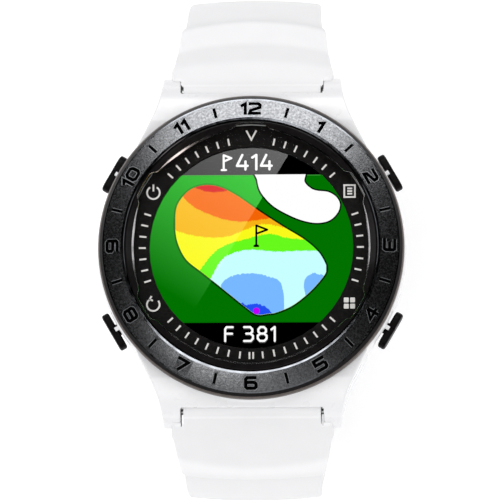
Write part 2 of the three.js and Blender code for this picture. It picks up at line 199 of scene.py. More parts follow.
def prism(name, outline, z0, z1, *materials):
    """A flat outline of (x, y) points, anticlockwise, raised from z0 to z1."""
    return loft(name, [[(x, y, z) for x, y in outline] for z in (z0, z1)], *materials)


def disc(name, radius, z0, z1, *materials, steps=96):
    return prism(name, circle(radius, steps), z0, z1, *materials)


def side_prism(name, outline, x0, x1, material):
    """A (y, z) outline, anticlockwise seen from +X, extruded along X."""
    made = prism(name, outline, x0, x1, material)
    return moved(made, Matrix(((0, 0, 1, 0), (1, 0, 0, 0), (0, 1, 0, 0), (0, 0, 0, 1))))


def arc(cx, cy, radius, start, end, steps):
    """Points on an arc, with angles in degrees from +X."""
    points = []
    for i in range(steps + 1):
        angle = math.radians(start + (end - start) * i / steps)
        points.append((cx + radius * math.cos(angle), cy + radius * math.sin(angle)))
    return points


def rounded_rect(half_w, half_h, corner, steps=6):
    """The outline of a rectangle with rounded corners, centred on the origin."""
    w, h = half_w - corner, half_h - corner
    return (arc(w, -h, corner, -90, 0, steps) + arc(w, h, corner, 0, 90, steps)
            + arc(-w, h, corner, 90, 180, steps) + arc(-w, -h, corner, 180, 270, steps))


def rod_x(name, radius, x0, x1, *materials, steps=48):
    """A rod along X through the origin."""
    rod = disc(name, radius, x0, x1, *materials, steps=steps)
    return moved(rod, turn(90, "Y"))


def smooth_curve(points, steps=8, closed=True):
    """A Catmull-Rom curve through (x, y) points."""
    count = len(points)
    made = []
    for i in range(count if closed else count - 1):
        def at(k):
            return Vector(points[(i + k) % count] if closed else points[min(max(i + k, 0), count - 1)])
        p0, p1, p2, p3 = at(-1), at(0), at(1), at(2)
        for step in range(steps):
            t = step / steps
            made.append(0.5 * (2 * p1 + (p2 - p0) * t + (2 * p0 - 5 * p1 + 4 * p2 - p3) * t * t
                               + (3 * p1 - p0 - 3 * p2 + p3) * t ** 3))
    if not closed:
        made.append(Vector(points[-1]))
    return [tuple(p) for p in made]


def between(table, value):
    """Straight-line values between the (position, value) pairs of a table."""
    if value <= table[0][0]:
        return table[0][1]
    for (a, va), (b, vb) in zip(table, table[1:]):
        if value <= b:
            return va + (vb - va) * (value - a) / (b - a)
    return table[-1][1]


def ease(value, start, end):
    """Rises smoothly from 0 to 1 between start and end."""
    t = min(1.0, max(0.0, (value - start) / (end - start)))
    return t * t * (3 - 2 * t)


# ---- materials ----


NOISE_SPAN = (0.35, 0.65)  # the noise values between which a colour or a roughness changes


class Paint:
    """A Principled material with procedural colour mottling, roughness variation and bump."""

    def __init__(self, name, color, roughness, metallic=0.0, **settings):
        self.material = bpy.data.materials.new(name)
        self.material.use_nodes = True
        self.tree = self.material.node_tree
        self.shader = self.tree.nodes["Principled BSDF"]
        self.color, self.roughness = color, roughness
        self.shader.inputs["Base Color"].default_value = (*color, 1)
        self.shader.inputs["Roughness"].default_value = roughness
        self.shader.inputs["Metallic"].default_value = metallic
        for socket, value in settings.items():
            self.shader.inputs[socket.replace("_", " ")].default_value = value
        self.height = None

    def node(self, kind, **settings):
        node = self.tree.nodes.new(kind)
        for key, value in settings.items():
            setattr(node, key, value)
        return node

    def link(self, output, socket):
        self.tree.links.new(output, socket)

    def noise(self, size, detail=3.0, stretch=(1, 1, 1)):
        """Noise with grains about size millimetres across."""
        coords = self.node("ShaderNodeTexCoord")
        mapping = self.node("ShaderNodeMapping")
        mapping.inputs["Scale"].default_value = stretch
        noise = self.node("ShaderNodeTexNoise")
        noise.inputs["Scale"].default_value = 1 / (size * MM)
        noise.inputs["Detail"].default_value = detail
        self.link(coords.outputs["Object"], mapping.inputs["Vector"])
        self.link(mapping.outputs["Vector"], noise.inputs["Vector"])
        return noise.outputs["Fac"]

    def ramp(self, value, *colors):
        """The first colour where the value is low, and the second where it is high."""
        ramp = self.node("ShaderNodeValToRGB")
        for element, position, color in zip(ramp.color_ramp.elements, NOISE_SPAN, colors):
            element.position = position
            element.color = (*color, 1)
        self.link(value, ramp.inputs["Fac"])
        return ramp.outputs["Color"]

    def mottle(self, size, amount, detail=3.0):
        """Colour that varies by a share of itself."""
        low = tuple(c * (1 - amount) for c in self.color)
        high = tuple(min(1.0, c * (1 + amount)) for c in self.color)
        color = self.ramp(self.noise(size, detail), low, high)
        self.link(color, self.shader.inputs["Base Color"])
        return self

    def toned(self, attribute, share):
        """Painted shade: darkens the mottled colour by a share of itself where the mesh's attribute is 1."""
        mask = self.node("ShaderNodeAttribute", attribute_name=attribute)
        scale = self.node("ShaderNodeMath", operation="MULTIPLY_ADD")
        scale.inputs[1].default_value = -share
        scale.inputs[2].default_value = 1.0
        self.link(mask.outputs["Fac"], scale.inputs[0])
        tone = self.node("ShaderNodeVectorMath", operation="SCALE")
        socket = self.shader.inputs["Base Color"]
        self.link(socket.links[0].from_socket, tone.inputs[0])
        self.link(scale.outputs["Value"], tone.inputs["Scale"])
        self.link(tone.outputs["Vector"], socket)
        return self

    def rough(self, size, amount):
        """Roughness that varies by an amount each way."""
        low, high = [(max(0.0, self.roughness + s * amount),) * 3 for s in (-1, 1)]
        value = self.ramp(self.noise(size), low, high)
        self.link(value, self.shader.inputs["Roughness"])
        return self

    def bump(self, size, height, detail=2.0, stretch=(1, 1, 1)):
        """Grain of a size and height in millimetres."""
        bump = self.node("ShaderNodeBump")
        bump.inputs["Distance"].default_value = height * MM
        self.link(self.noise(size, detail, stretch), bump.inputs["Height"])
        if self.height is not None:
            self.link(self.height, bump.inputs["Normal"])
        self.height = bump.outputs["Normal"]
        self.link(self.height, self.shader.inputs["Normal"])
        return self


def srgb(red, green, blue):
    """A display colour of 0 to 255 as linear light."""
    def linear(c):
        c /= 255
        return c / 12.92 if c <= 0.04045 else ((c + 0.055) / 1.055) ** 2.4
    return linear(red), linear(green), linear(blue)


def glow(name, red, green, blue, sheen=None):
    """A lit display colour. The display also mirrors light, tinted by sheen."""
    color = srgb(red, green, blue)
    sheen = sheen or tuple(0.04 + 0.5 * c * (1 - c) for c in color)
    paint = Paint(name, sheen, 0.0, 1.0)
    paint.shader.inputs["Emission Color"].default_value = (*color, 1)
    paint.shader.inputs["Emission Strength"].default_value = 1.0
    return paint.material


GLASS_IOR = 1.05


def clear_glass():
    """Coated watch glass: mostly clear, with a faint mirror."""
    material = bpy.data.materials.new("watch_glass")
    material.use_nodes = True
    tree = material.node_tree
    tree.nodes.clear()
    output = tree.nodes.new("ShaderNodeOutputMaterial")
    mix = tree.nodes.new("ShaderNodeMixShader")
    fresnel = tree.nodes.new("ShaderNodeFresnel")
    fresnel.inputs["IOR"].default_value = GLASS_IOR
    clear = tree.nodes.new("ShaderNodeBsdfTransparent")
    gloss = tree.nodes.new("ShaderNodeBsdfGlossy")
    gloss.inputs["Roughness"].default_value = 0.01
    tree.links.new(fresnel.outputs["Fac"], mix.inputs["Fac"])
    tree.links.new(clear.outputs["BSDF"], mix.inputs[1])
    tree.links.new(gloss.outputs["BSDF"], mix.inputs[2])
    tree.links.new(mix.outputs["Shader"], output.inputs["Surface"])
    return material


WHITE_CASE = (Paint("white_case", (0.85, 0.85, 0.857), 0.3)
              .mottle(6, 0.004).rough(2, 0.04).bump(0.5, 0.003).material)
# The strap's rubber darkens by up to 0.085 of its colour where its painted shade attribute is 1.
WHITE_RUBBER = (Paint("white_rubber", (0.895, 0.895, 0.9), 0.55, Sheen_Weight=0.1)
                .mottle(3, 0.006).toned("matt", 0.085).rough(1.5, 0.06).bump(0.25, 0.006).material)
BEZEL_BAND = (Paint("bezel_band", (0.1, 0.102, 0.106), 0.27, 1.0)
              .mottle(0.35, 0.26, 6).rough(0.3, 0.05).bump(0.16, 0.009, 5).material)
# A near-black copy of the bezel metal for the outer chamfer and the faces left over: painted shade.
BEZEL_EDGE = Paint("bezel_edge", (0.009, 0.008, 0.008), 0.2, 1.0).mottle(0.6, 0.15).bump(0.3, 0.003).material
BEZEL_RIM = Paint("bezel_rim", (0.11, 0.093, 0.084), 0.35, 1.0).mottle(0.6, 0.15).bump(0.3, 0.003).material
BEZEL_GLINT = (Paint("bezel_polished_edge", (0.1, 0.104, 0.112), 0.16, 1.0)
               .mottle(1.5, 0.2).rough(0.8, 0.05).material)
ENGRAVED = (Paint("bezel_engraving", (0.001, 0.001, 0.0012), 1.0, Specular_IOR_Level=0.0)
            .mottle(0.5, 0.3).bump(0.15, 0.01).material)
# A lighter copy of the bezel metal for the shallow step round the engraved strokes, so lamps show edges
# there: partly painted highlight.
ENGRAVED_WALL = (Paint("engraving_wall", (0.3, 0.31, 0.32), 0.5, 1.0)
                 .mottle(0.5, 0.2).bump(0.2, 0.004).material)
GLOSS_RING = (Paint("gloss_black_ring", (0.008, 0.007, 0.007), 0.2, Specular_IOR_Level=0.15)
              .mottle(1, 0.2).rough(1.5, 0.04).material)
# Light grey metal for the gloss black ring's lip edge, a partly painted highlight: the lamps give its shine.
RING_LIP = Paint("ring_lip", (0.55, 0.54, 0.55), 0.2, 1.0).mottle(1.5, 0.2).rough(1, 0.05).material
DIAL_BLACK = (Paint("dial_black", (0.006, 0.005, 0.0045), 0.5, Specular_IOR_Level=0.06)
              .mottle(0.6, 0.3).bump(0.1, 0.002).material)
DIAL_WHITE = Paint("dial_print", (0.75, 0.73, 0.7), 0.6).mottle(0.4, 0.08).bump(0.1, 0.002).material
BUTTON_BLACK = (Paint("button_black", (0.004, 0.003, 0.003), 0.45, Specular_IOR_Level=0.08)
                .mottle(0.5, 0.25).rough(0.5, 0.08).bump(0.12, 0.006).material)
BACK_PLASTIC = (Paint("case_back_plastic", (0.03, 0.03, 0.032), 0.5)
                .mottle(1.5, 0.15).bump(0.15, 0.008).material)
STEEL = (Paint("satin_steel", (0.55, 0.55, 0.56), 0.3, 1.0)
         .mottle(0.7, 0.08).rough(0.5, 0.06).bump(0.12, 0.003, 2, (1, 12, 12)).material)
WIRE = Paint("spring_wire", (0.5, 0.5, 0.5), 0.3, 1.0).mottle(0.5, 0.1).rough(0.4, 0.05).material
SCREW = Paint("screw_steel", (0.42, 0.42, 0.43), 0.35, 1.0).mottle(0.4, 0.12).bump(0.08, 0.004).material
GOLD = Paint("gold_plate", (0.83, 0.6, 0.26), 0.28, 1.0).mottle(0.4, 0.08).rough(0.3, 0.06).material
SILICONE = Paint("silicone", (0.04, 0.04, 0.042), 0.7).mottle(0.6, 0.15).bump(0.1, 0.005).material
BOARD = Paint("circuit_board", (0.01, 0.09, 0.035), 0.45).mottle(0.8, 0.4, 6).bump(0.3, 0.01).material
CERAMIC = Paint("antenna_ceramic", (0.6, 0.55, 0.44), 0.6).mottle(0.5, 0.1).bump(0.1, 0.004).material
FOIL = Paint("pouch_foil", (0.5, 0.51, 0.53), 0.4, 0.9).mottle(1.5, 0.1).bump(1.2, 0.03).material
FILM = Paint("diffuser_film", (0.8, 0.8, 0.78), 0.5).mottle(0.7, 0.04).bump(0.1, 0.002).material
SHIELD = Paint("tin_shield", (0.55, 0.55, 0.54), 0.38, 1.0).mottle(0.8, 0.12).bump(0.3, 0.006).material
PANEL = Paint("panel_stack", (0.012, 0.02, 0.014), 0.3).mottle(0.8, 0.2).rough(0.6, 0.05).material
GLASS = clear_glass()


def dress(material, *nodes):
    """Gives CAD nodes a material."""
    for name in nodes:
        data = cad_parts[name].data
        data.materials.clear()
        data.materials.append(material)


def stands_for(piece, body, slot, *nodes):
    """Puts a piece on a body in place of its CAD nodes, which are hidden. The slot is not used."""
    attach(piece, body)
    if nodes:
        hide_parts(*nodes)
    return piece


# ---- camera, light and floor ----

CAMERA_DISTANCE = 1.5  # metres, as are the lights' distances and sizes
SENSOR_WIDTH = 36
PICTURE_WIDTH = 75.0
CAMERA_TILT = 8.6  # degrees towards 6 o'clock
CAMERA_LEAN = 2.0  # degrees towards 3 o'clock
AIM = Vector((-0.15, -0.57, 12.0)) * MM


def direction(tilt_x, tilt_y):
    """A unit vector up from the dial that leans by degrees towards +X and +Y."""
    return Vector((math.tan(math.radians(tilt_x)), math.tan(math.radians(tilt_y)), 1)).normalized()


def look(obj, place, target):
    """Points an object at a place, with +Y up in its picture."""
    forward = (target - place).normalized()
    right = forward.cross(Vector((0, 1, 0))).normalized()
    up = right.cross(forward)
    obj.matrix_world = Matrix((
        (right.x, up.x, -forward.x, place.x),
        (right.y, up.y, -forward.y, place.y),
        (right.z, up.z, -forward.z, place.z),
        (0, 0, 0, 1),
    ))


def make_camera():
    camera = placed("camera", bpy.data.cameras.new("camera"))
    camera.data.sensor_width = SENSOR_WIDTH
    camera.data.lens = SENSOR_WIDTH * CAMERA_DISTANCE / (PICTURE_WIDTH * MM)
    camera.data.clip_end = 20
    look(camera, AIM + direction(CAMERA_LEAN, -CAMERA_TILT) * CAMERA_DISTANCE, AIM)
    bpy.context.scene.camera = camera


LIGHT_DISTANCE = 1.6


def softbox(name, lean, width, height, radiance, color=(1, 1, 1), distance=LIGHT_DISTANCE, roll=0,
            fade=False):
    """An area light that faces the dial and shows only in reflections. Radiance is what a mirror sees of it.
    Where it fades, it dims from its upper edge to its lower one."""
    data = bpy.data.lights.new(name, "AREA")
    data.shape = "RECTANGLE"
    data.size, data.size_y = width, height
    data.energy = radiance * math.pi * width * height
    data.color = color
    if fade:
        data.use_nodes = True
        tree = data.node_tree
        geometry = tree.nodes.new("ShaderNodeNewGeometry")
        split = tree.nodes.new("ShaderNodeSeparateXYZ")
        tree.links.new(geometry.outputs["Parametric"], split.inputs["Vector"])
        tree.links.new(split.outputs["Y"], tree.nodes["Emission"].inputs["Strength"])
    light = placed(name, data)
    look(light, AIM + direction(*lean) * distance, AIM)
    light.matrix_world = light.matrix_world @ turn(roll)
    light.visible_camera = False
    light.visible_diffuse = False
    return light


def make_lights():
    softbox("key_top", (0, 38), 1.1, 0.6, 8.5)
    softbox("fill_front", (4, -27), 0.9, 0.4, 1.3)
    softbox("side_left", (-76, 0), 0.5, 1.0, 1.2)
    softbox("side_right", (76, 0), 0.5, 1.0, 1.0)
    softbox("low_warm", (74, -74), 0.8, 0.4, 2.0, (1.0, 0.88, 0.82))
    softbox("gloss_card", (-3.44, 9.72), 0.148, 0.083, 1.7, distance=2.6, roll=-31.1, fade=True)
    sun = placed("overhead", bpy.data.lights.new("overhead", "SUN"))
    sun.data.energy = 0.45
    sun.data.angle = math.radians(16)
    look(sun, AIM + direction(-8, -10), AIM)
    world = bpy.data.worlds.new("studio")
    bpy.context.scene.world = world
    world.use_nodes = True
    world.cycles_visibility.glossy = False
    background = world.node_tree.nodes["Background"]
    background.inputs["Color"].default_value = (0.99, 0.99, 1.0, 1)
    background.inputs["Strength"].default_value = 0.94


def make_floor():
    low = CAD_BOX[0][2] / MM
    size = 3000.0
    square = [(-size, -size, low), (size, -size, low), (size, size, low), (-size, size, low)]
    paint = Paint("studio_floor", (0.9, 0.9, 0.9), 0.8)
    paint.mottle(40, 0.01)
    paint.shader.inputs["Emission Color"].default_value = (1, 1, 1, 1)
    paint.shader.inputs["Emission Strength"].default_value = 0.235
    add_mesh("studio_floor", square, [(0, 1, 2, 3)], paint.material)


bpy.context.scene.view_settings.view_transform = "Standard"
bpy.context.scene.view_settings.look = "None"
make_camera()
make_lights()
make_floor()

# ---- drawn lines: numerals, marks and icons ----

# Lines in a box from 0 to 1 each way. None of them crosses itself.
NUMERALS = {
    "0": [[(0, 0.2), (0, 0.8), (0.2, 1), (0.8, 1), (1, 0.8), (1, 0.2), (0.8, 0), (0.2, 0), (0, 0.2)]],
    "1": [[(-0.1, 0.72), (0.35, 1), (0.35, -0.15)]],
    "2": [[(-0.1, 1), (0.85, 1), (1, 0.85), (1, 0.6), (0.1, 0.3), (0, 0), (1.1, 0)]],
    "3": [[(-0.1, 1), (0.9, 1), (1, 0.85), (1, 0.15), (0.9, 0), (-0.1, 0)], [(0.2, 0.5), (1, 0.5)]],
    "4": [[(0.75, 1), (0, 0.3), (1.15, 0.3)], [(0.75, -0.12), (0.75, 1)]],
    "5": [[(1.1, 1), (0, 1), (0, 0.55), (0.85, 0.55), (1, 0.42), (1, 0.12), (0.85, 0), (-0.1, 0)]],
    "6": [[(1.05, 1), (0.15, 1), (0, 0.85), (0, 0.12), (0.15, 0), (0.85, 0), (1, 0.12), (1, 0.42),
           (0.85, 0.55)], [(0.9, 0.55), (0, 0.55)]],
    "7": [[(-0.1, 1), (1, 1), (0.35, -0.12)]],
    "8": [[(0.15, 0), (0, 0.15), (0, 0.85), (0.15, 1), (0.85, 1), (1, 0.85), (1, 0.15), (0.85, 0), (0.15, 0)],
          [(0, 0.52), (1, 0.52)]],
    "9": [[(-0.05, 0), (0.85, 0), (1, 0.15), (1, 0.88), (0.85, 1), (0.15, 1), (0, 0.88), (0, 0.58),
           (0.15, 0.45)], [(0.1, 0.45), (1, 0.45)]],
}
SCREEN_FIGURES = {
    "1": [[(0, 0.82), (0.38, 1), (0.38, 0)]],
    "3": [[(0, 1), (0.7, 1), (0.93, 0.84), (0.93, 0.66), (0.7, 0.53), (0.25, 0.53)],
          [(0.7, 0.53), (1, 0.38), (1, 0.17), (0.75, 0), (0, 0)]],
    "4": [[(0.8, 0.55), (0.8, 0)], [(0.5, 1), (0, 0.25), (1, 0.25)]],
    "8": [[(0.3, 0.53), (0.07, 0.66), (0.07, 0.84), (0.3, 1), (0.7, 1), (0.93, 0.84), (0.93, 0.66),
           (0.7, 0.53), (1, 0.38), (1, 0.17), (0.75, 0), (0.25, 0), (0, 0.17), (0, 0.38), (0.3, 0.53),
           (0.7, 0.53)]],
    "F": [[(0, 0), (0, 0.85), (0.15, 1), (0.85, 1)], [(0, 0.53), (0.78, 0.53)]],
}
ADVANCE = {"1": 0.38, " ": 0.2, "F": 0.85}  # the widths of the characters that are narrower than the rest


def spell(text, width, height, gap, font=NUMERALS):
    """Lines for a string of characters, centred on the origin, with the width and height between strokes."""
    advance = [width * ADVANCE.get(c, 1) + gap for c in text]
    left = -(sum(advance) - gap) / 2
    lines = []
    for character, step in zip(text, advance):
        for line in font.get(character, []):
            lines.append([(left + x * width, (y - 0.5) * height) for x, y in line])
        left += step
    return lines


POST_STEPS = 12


def stroke_mesh(name, lines, width, z0, z1, material):
    """One mesh of raised lines with round ends: a block for each stretch, and a round post at every point."""
    half, verts, faces = width / 2, [], []

    def raise_outline(outline):
        base, count = len(verts), len(outline)
        verts.extend((x, y, z) for z in (z0, z1) for x, y in outline)
        faces.append(tuple(base + k for k in reversed(range(count))))
        faces.append(tuple(base + count + k for k in range(count)))
        wall(faces, base, base + count, count)

    for line in lines:
        for x, y in dict.fromkeys(line):
            raise_outline(arc(x, y, half, 0, 360 - 360 / POST_STEPS, POST_STEPS - 1))
        for (ax, ay), (bx, by) in zip(line, line[1:]):
            length = math.hypot(bx - ax, by - ay)
            nx, ny = -(by - ay) / length * half, (bx - ax) / length * half
            raise_outline([(ax - nx, ay - ny), (bx - nx, by - ny), (bx + nx, by + ny), (ax + nx, ay + ny)])
    return add_mesh(name, verts, faces, material)


def ribbon(points, width):
    """The left and right edges of a line of constant width with mitred corners. The line closes on itself
    when its first point is also its last."""
    closed = points[0] == points[-1]
    line = [Vector(p) for p in (points[:-1] if closed else points)]
    count = len(line)
    edges = []
    for i, point in enumerate(line):
        before = line[i - 1] if closed or i else None
        after = line[(i + 1) % count] if closed or i + 1 < count else None
        into = (point - before).normalized() if before is not None else (after - point).normalized()
        out = (after - point).normalized() if after is not None else into
        middle = Vector((-into.y - out.y, into.x + out.x)).normalized()
        reach = width / 2 / max(0.5, middle.dot(Vector((-out.y, out.x))))
        edges.append((point + middle * reach, point - middle * reach))
    return edges, closed


def ribbon_mesh(name, groups, width, z0, z1, material):
    """One mesh of raised lines with square ends. groups holds pairs of a matrix and its lines."""
    verts, faces = [], []
    for matrix, lines in groups:
        for line in lines:
            edges, closed = ribbon(line, width)
            base, count = len(verts), len(edges)
            for a, b in edges:
                verts += [matrix @ Vector((p.x, p.y, z)) for p, z in ((a, z1), (b, z1), (b, z0), (a, z0))]
            for i in range(count if closed else count - 1):
                wall(faces, base + 4 * i, base + 4 * ((i + 1) % count), 4)
            if not closed:
                last = base + 4 * (count - 1)
                faces.append((base + 3, base + 2, base + 1, base))
                faces.append((last, last + 1, last + 2, last + 3))
    return add_mesh(name, verts, faces, material)


def dial_frame(dial, radius, z=0.0, slope=0.0, inward=False, upright=False):
    """A frame on the dial at an angle clockwise from 12. Its +Y points out along the radius and +X clockwise,
    or the other way round where inward, or as the dial's own axes where upright."""
    spin = 0 if upright else -dial + (180 if inward else 0)
    tilt = 0 if upright else (slope if inward else -slope)
    place_at = Vector((radius * math.sin(math.radians(dial)), radius * math.cos(math.radians(dial)), z))
    return Matrix.Translation(place_at) @ turn(spin) @ turn(tilt, "X")


# ---- bezel ----

BAND_OUT, BAND_IN = (22.14, 12.46), (19.5, 13.26)
BAND_MIDDLE = (20.82, 12.86)
BAND_SLOPE = math.degrees(math.atan2(BAND_IN[1] - BAND_OUT[1], BAND_OUT[0] - BAND_IN[0]))
GLINT_R, RIM_R = 22.32, 22.7  # how far out the polished edge reaches, and where the rim starts
ENGRAVE_DEPTH = 0.25
RIM_DEPTH = 0.04
NUMERAL = (1.55, 1.6, 0.6)  # width and height between stroke centres, and the gap between two
NUMERAL_STROKE = 0.5
BAR, BAR_STROKE = [(0, -0.84), (0, 0.84)], 0.44
RIM = 0.2  # how much wider the shallow step round an engraved stroke is
INWARD_NUMERALS = (4, 5, 6, 7, 8)


def make_bezel():
    section = [(20.85, 10.1), (22.92, 10.1), (23.0, 10.18), (23.0, 11.3), (22.94, 11.5), (22.76, 11.8),
               (22.42, 12.27), (22.33, 12.41), BAND_OUT, BAND_IN, (19.42, 13.27), (19.14, 13.2),
               (19.04, 13.12), (18.98, 12.98), (18.98, 12.15), (20.85, 12.15)]
    materials = [BEZEL_EDGE, BEZEL_BAND, ENGRAVED, ENGRAVED_WALL, BEZEL_GLINT, BEZEL_RIM]
    bezel = around("bezel_ring", lambda dial: section, *materials, steps=360, angle=20)
    # faces not sorted here keep the near-black metal of the painted shade
    for face in bezel.data.polygons:
        radius = math.hypot(face.center.x, face.center.y) / MM
        if face.normal.z > 0.9 and BAND_IN[0] < radius < BAND_OUT[0]:
            face.material_index = materials.index(BEZEL_BAND)
        elif face.normal.z > 0.3 and radius < GLINT_R:
            face.material_index = materials.index(BEZEL_GLINT)
        elif radius > RIM_R:
            face.material_index = materials.index(BEZEL_RIM)
    groups, bars = [], []
    for hour in range(1, 13):
        inward = hour in INWARD_NUMERALS
        at = dial_frame(30 * hour, *BAND_MIDDLE, BAND_SLOPE, inward)
        groups.append((at, spell(str(hour), *NUMERAL)))
        bars.append((dial_frame(30 * hour + 15, *BAND_MIDDLE, BAND_SLOPE), [BAR]))
    for drawn, width in ((groups, NUMERAL_STROKE), (bars, BAR_STROKE)):
        # the shallow step round each stroke is cut in the lighter metal, a partly painted highlight; the
        # stroke itself in black fill
        for grow, depth, material in ((RIM, RIM_DEPTH, ENGRAVED_WALL), (0.0, ENGRAVE_DEPTH, ENGRAVED)):
            for batch in range(2):  # lines that touch each other are cut in turn
                chosen = [(at, lines[batch::2]) for at, lines in drawn if lines[batch::2]]
                if chosen:
                    cut(bezel, ribbon_mesh("engraving", chosen, width + grow, -depth, 0.6, material))
    shade(bezel, 20)
    return stands_for(bezel, "case", "gunmetal_bezel", "bezel")


make_bezel()

# ---- inner ring ----

NOTCHES = (0, 60, 120, 240, 300)
NOTCH_FLAT, NOTCH_FOOT = 5.5, 9.5  # degrees each side of the middle
RING_IN, NOTCH_IN, RING_OUT = 17.95, 18.62, 18.88
RING_LOW, RING_HIGH = 12.1, 13.0
RING_SLOPE = 0.68  # how steeply the ring falls towards its lip
LIP_BOW = 0.4  # how far the lip bows inwards between two notches


def ring_section(dial):
    """The ring's section, whose third point ends the light metal edge of its lip, which widens between the
    notches where highlights show: partly painted highlight.
    """
    off = min(abs((dial - notch + 180) % 360 - 180) for notch in NOTCHES)
    bow = ease(off, NOTCH_FOOT - 3, 27)
    lip = NOTCH_IN + (RING_IN - NOTCH_IN) * ease(off, NOTCH_FLAT, NOTCH_FOOT) - LIP_BOW * bow
    rise = RING_HIGH - (RING_OUT - 0.18 - lip) * RING_SLOPE
    bright = lip + 0.1 + 0.26 * bow
    return [(lip, RING_LOW), (lip, rise - 0.08 - 0.12 * bow), (bright, rise + 0.05 + 0.1 * bow),
            (bright + 0.03, rise + 0.07 + 0.1 * bow), (RING_OUT - 0.13, RING_HIGH),
            (RING_OUT, RING_HIGH - 0.05), (RING_OUT, RING_LOW)]


def make_inner_ring():
    ring = around("inner_bezel_ring", ring_section, GLOSS_RING, RING_LIP, steps=720, angle=40)
    per_step = len(ring_section(0))
    # the lip's light metal edge: partly painted highlight
    for index, face in enumerate(ring.data.polygons):
        if index % per_step == 1:
            face.material_index = 1
    return stands_for(ring, "case", "gloss_black_ring", "inner_ring")


make_inner_ring()

# ---- printed dial: minute marks and icons ----

PRINT_Z = (10.7, 10.74)
TICK = (15.85, 16.9)
LINE = 0.26  # the width of the marks' and the icons' lines
ICON_R = 17.0
ICON_HOURS = (2, 4, 8, 10)


def make_minute_marks():
    groups = []
    for minute in range(60):
        near_icon = any(abs(minute - 5 * hour) <= 1 for hour in ICON_HOURS)
        if not near_icon and minute not in (59, 0, 1, 30):
            groups.append((dial_frame(6 * minute, 0), [[(0, TICK[0]), (0, TICK[1])]]))
    for offset in (-0.28, 0.28):
        groups.append((dial_frame(180, 0), [[(offset, TICK[0]), (offset, TICK[1])]]))
    marks = ribbon_mesh("minute_marks", groups, LINE, *PRINT_Z, DIAL_WHITE)
    return stands_for(marks, "case", "printed_dial")


def make_icons():
    def at(hour):
        return dial_frame(30 * hour, ICON_R, upright=True)

    power = [arc(0, -0.1, 0.95, 122, 418, 28), [(0, 0.1), (0, 1.15)]]
    repeat = [arc(0, -0.1, 0.95, 118, 398, 28), [(-0.25, 1.2), (-0.55, 0.72), (-0.05, 0.5)]]
    card = [[(-0.75, -0.9), (0.85, -0.9), (0.85, 0.9), (-0.75, 0.9), (-0.75, -0.9)],
            [(-0.3, 0.4), (0.45, 0.4)], [(-0.3, 0), (0.45, 0)], [(-0.3, -0.4), (0.45, -0.4)]]
    pointer = [[(-0.75, 0.8), (0, -0.6), (0.75, 0.8)]]
    groups = [(at(10), power), (at(8), repeat), (at(2), card), (at(12), pointer)]
    stands_for(ribbon_mesh("dial_icons", groups, LINE, *PRINT_Z, DIAL_WHITE), "case", "printed_dial")
    for name, x, y in (("a", -1, 1), ("b", 1, 1), ("c", -1, -1), ("d", 1, -1)):
        tile = prism(f"menu_tile_{name}", rounded_rect(0.37, 0.37, 0.1), *PRINT_Z, DIAL_WHITE)
        moved(tile, Matrix.Translation(at(4).translation * MM) @ shift(0.47 * x, 0.47 * y, 0))
        stands_for(tile, "case", "printed_dial")


make_minute_marks()
make_icons()

# ---- display: flat layers of lit colour ----

SCREEN_R = 15.45
SCREEN_Z = 10.16
LAYER, INK = 0.03, 0.02  # the height between two layers, and of the figures
HEADER_Y, FOOTER_Y = 11.1, -11.3
BLACK_SHEEN, GRASS_SHEEN = (0.091, 0.091, 0.091), (0.05, 0.37, 0.05)

SLOPE_TOP = [(-11.5, 3.4), (-11.25, 6.2), (-10.1, 8.1), (-8.6, 9.2), (-6.6, 9.6), (-4.5, 9.2), (-2.4, 8.1),
             (-1.2, 7.3), (1.6, 5.3), (4.8, 3.2), (8, 1.2), (10.1, -0.7), (11.2, -2.6), (11.3, -3.3)]
SLOPE_LOW = [(-11.5, 3.4), (-11.1, 0.9), (-9.8, -1.7), (-7.4, -3.7), (-4.9, -5.7), (-1.1, -8.8),
             (0.8, -10.1), (2.5, -10), (3.8, -9.8), (6.3, -8.7), (8.9, -6.6), (10.9, -4.3), (11.3, -3.3)]
# Each band's upper edge, from the top of the slope down.
BANDS = [
    ("orange", (243, 101, 7), [(-9, 9.4), (-7.1, 8.7), (-5.5, 8.5), (-3.6, 8.7), (-2, 9)]),
    ("amber", (247, 178, 22), [(-11, 8.6), (-8.7, 6.3), (-5.5, 4.8), (-3.4, 4.2), (-1, 4), (2.9, 4.5),
                               (5, 4.8)]),
    ("yellow", (249, 249, 28), [(-12, 2.9), (-9.1, 2), (-6, 1.6), (-3.4, 1.8), (-1.3, 2.6), (1.8, 3.6),
                                (5.2, 3), (8, 2.6)]),
    ("lime", (103, 249, 28), [(-8.4, -5), (-7.6, -3.2), (-5.5, -0.6), (-3.4, 0.6), (-1.3, 1.2), (2.6, 2.1),
                             (5.2, 1.5), (8, 1.2), (10, 1)]),
    ("cyan", (200, 255, 255), [(-7, -6), (-6.1, -4.6), (-4.6, -2), (-3, -0.9), (-0.3, -0.3), (3.8, -0.6),
                               (7.2, -0.5), (9.9, -0.5), (11.4, -0.5)]),
]
BLUE_POOL = [(-4.5, -6.3), (-4.1, -5.0), (-2.3, -4.1), (0.4, -3.9), (2.3, -4.3), (4.1, -5), (4.7, -6.3),
             (4.9, -8), (4.6, -9.9), (2, -11.5), (-3, -9)]
BLUE_SIDE = [(7.9, -5.6), (8.2, -4.6), (9.3, -3.9), (10.1, -4.1), (10.8, -4.2), (11, -5.4), (8.6, -7.6),
             (8, -6.6)]
DEEP_POOL = [(-1.4, -8.3), (-0.8, -8.7), (0.5, -8.5), (1.8, -8.8), (2.8, -9.5), (2.9, -10.6), (0.6, -11.2),
             (-1.6, -9.6)]
SAND = [(0.95, 12), (0.9, 10.2), (1.5, 8.3), (3.3, 6.3), (5.9, 4.8), (8, 4), (10, 3.7), (11.8, 4.1),
        (13, 5.3), (13.3, 6.6), (12.7, 7.7), (11.5, 8.4), (9.9, 8.6), (8.9, 9), (8, 10), (7.6, 12)]
SLOPE_EDGE, SAND_EDGE = 0.27, 0.24  # the widths of their dark edges


